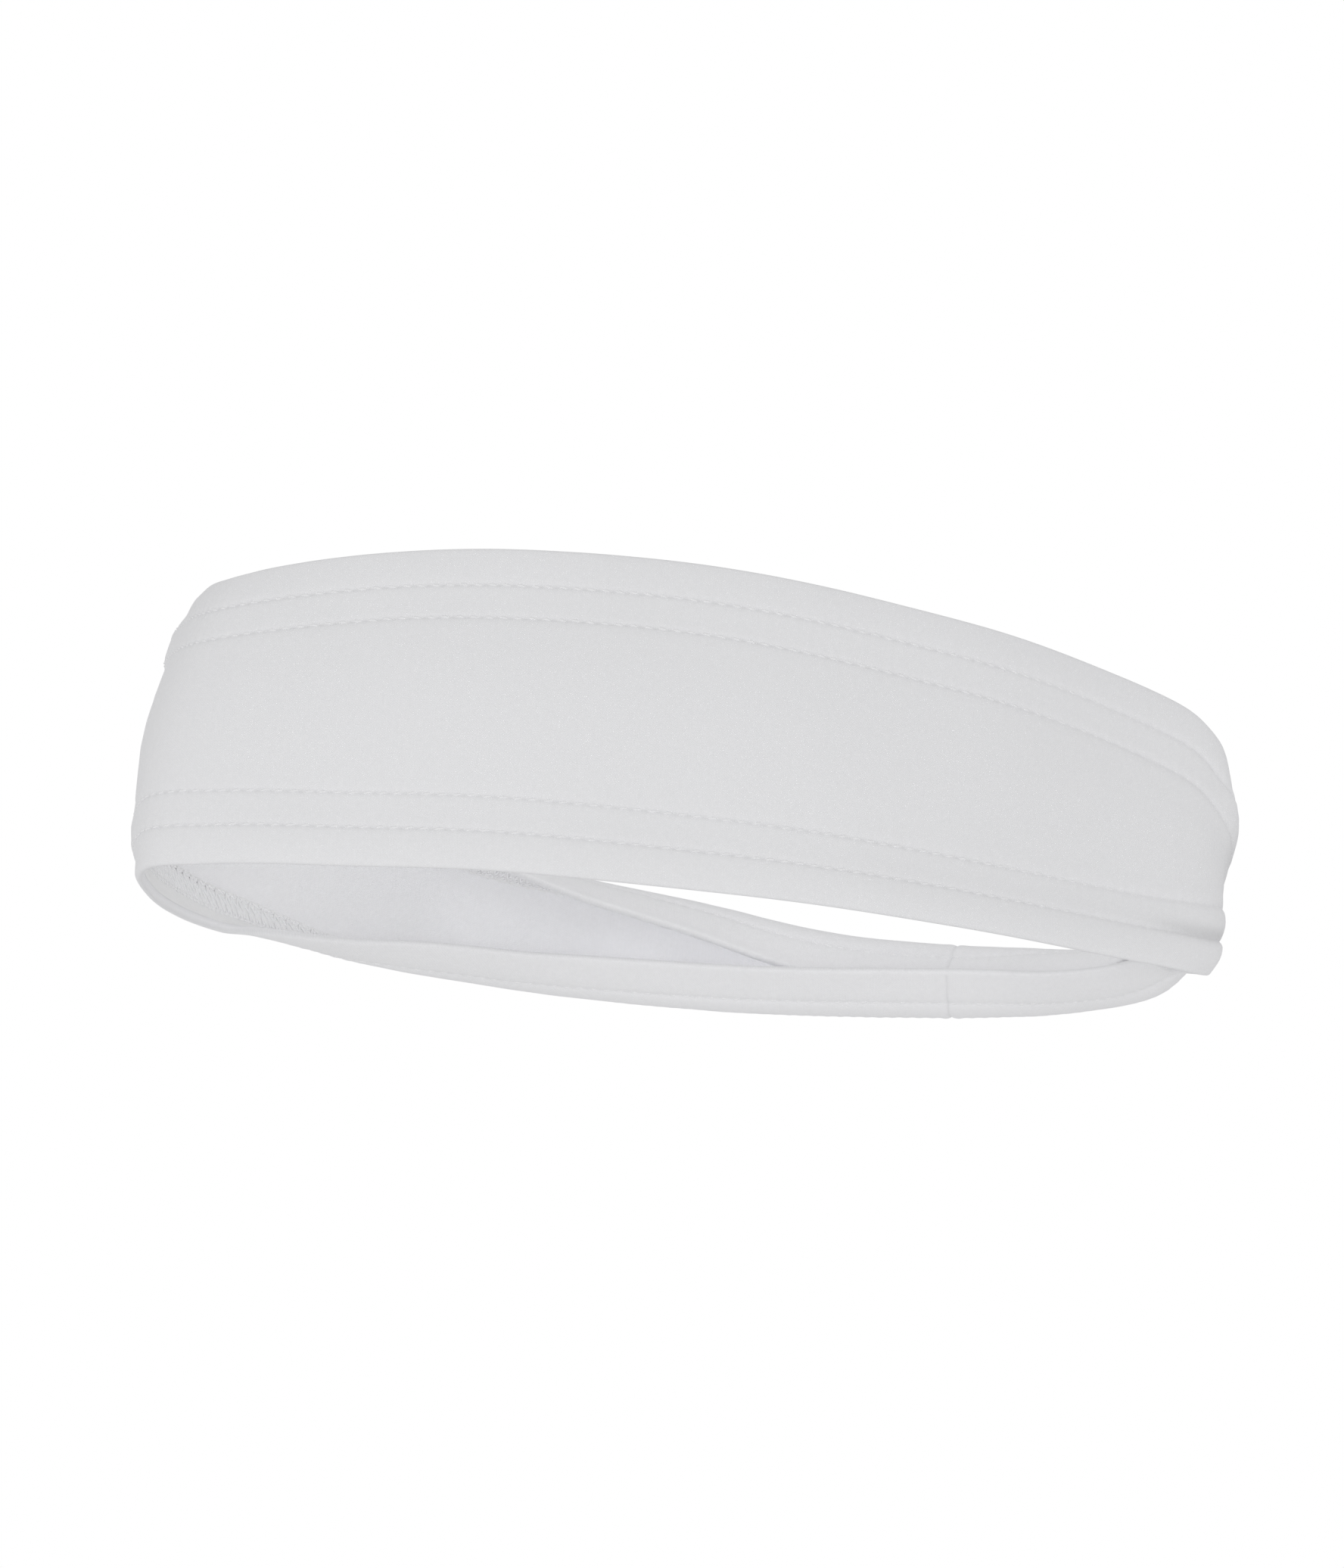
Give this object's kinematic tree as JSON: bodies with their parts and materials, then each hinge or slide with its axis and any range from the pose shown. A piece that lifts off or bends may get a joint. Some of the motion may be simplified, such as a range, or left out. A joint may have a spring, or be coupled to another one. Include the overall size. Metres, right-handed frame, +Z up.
{
  "type": "sports headband",
  "caption": "Pull-on knit sports headband: a tapered loop of stretch fabric with turned, coverstitched hems, curled inwards at the back, and a centre-back seam.",
  "frame": {"origin": "centre of the bounding box on the plane that the lower rim stands on", "axes": "+Z up out of the head opening, -Y towards the front of the band (its tallest part), +X along the loop's long axis to the wearer's left, the tight bend"},
  "size_m": [0.1974, 0.1295, 0.0601],
  "materials": {
    "face_knit": "fine smooth interlock knit in pale grey-white, matt with a faint filament sheen",
    "inner_knit": "back of the same pale grey-white knit, matt",
    "sewing_thread": "textured polyester thread, matched pale grey-white, soft sheen"
  },
  "bodies": {
    "root": {"face_panel": "face_knit", "top_hem_turn_under": "inner_knit", "bottom_hem_turn_under": "inner_knit", "top_hem_upper_needle_thread": "sewing_thread", "top_hem_lower_needle_thread": "sewing_thread", "top_hem_looper_thread": "sewing_thread", "bottom_hem_upper_needle_thread": "sewing_thread", "bottom_hem_lower_needle_thread": "sewing_thread", "bottom_hem_looper_thread": "sewing_thread", "seam_allowance_left": "inner_knit", "seam_allowance_right": "inner_knit", "back_seam_thread": "sewing_thread"}
  },
  "joints": []
}
